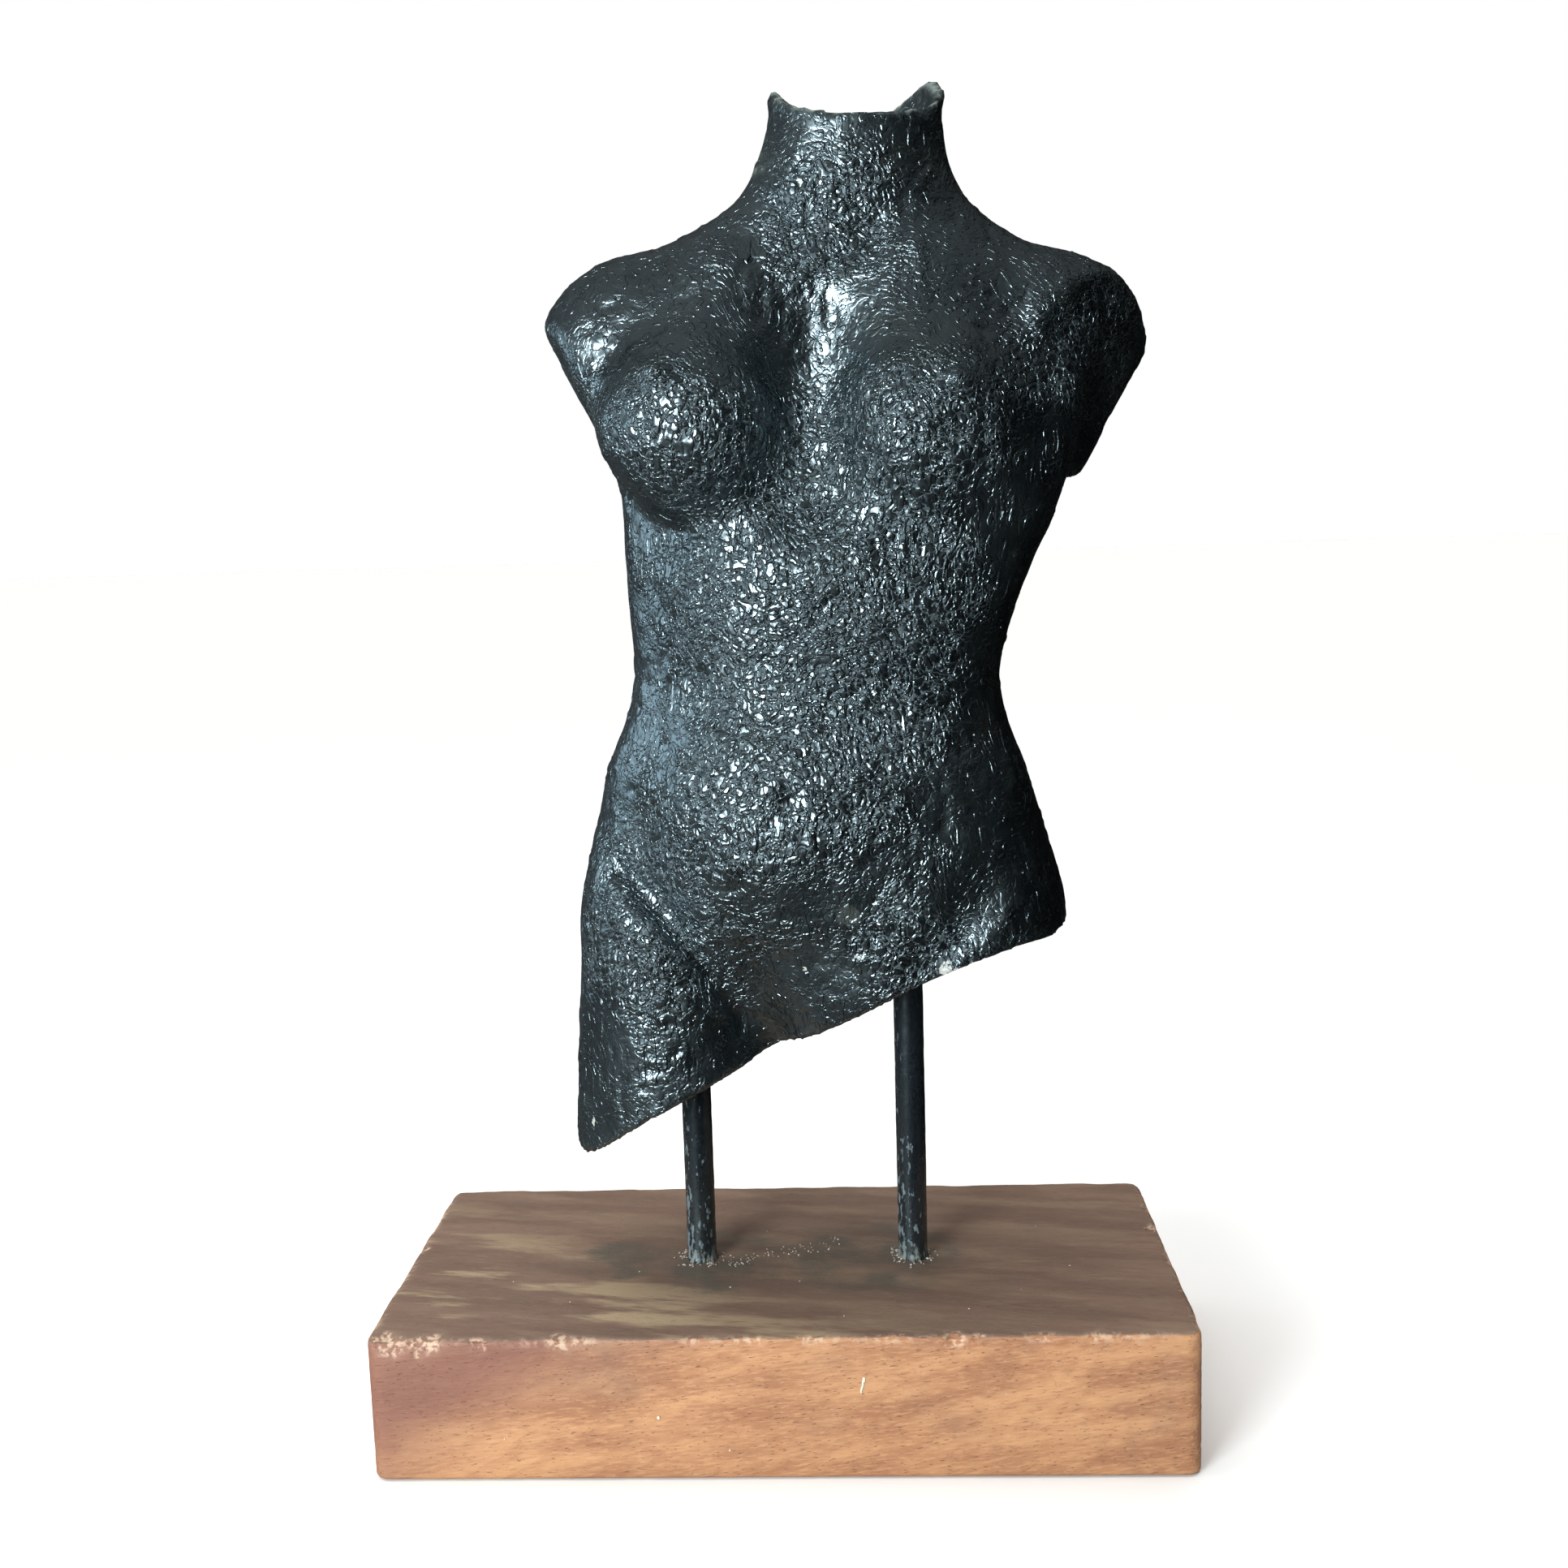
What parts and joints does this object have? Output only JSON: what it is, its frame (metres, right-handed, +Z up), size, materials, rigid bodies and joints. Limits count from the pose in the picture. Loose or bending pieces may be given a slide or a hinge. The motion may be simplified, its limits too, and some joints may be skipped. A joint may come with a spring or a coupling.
{
  "type": "torso sculpture",
  "caption": "Black ceramic female torso, broken off at the neck, arms and thighs, held on steel rods above a solid wood plinth.",
  "frame": {"origin": "middle of the plinth's underside", "axes": "+Z up, the figure faces -Y, +X to the viewer's right"},
  "size_m": [0.262, 0.126, 0.4363],
  "materials": {
    "black_ceramic": "glossy black over hand-textured ceramic",
    "black_steel": "worn black, satin",
    "wood": "oiled, weathered top, lighter front"
  },
  "bodies": {
    "root": {"torso": "black_ceramic", "rod_left": "black_steel", "rod_right": "black_steel", "plinth": "wood"}
  },
  "joints": []
}
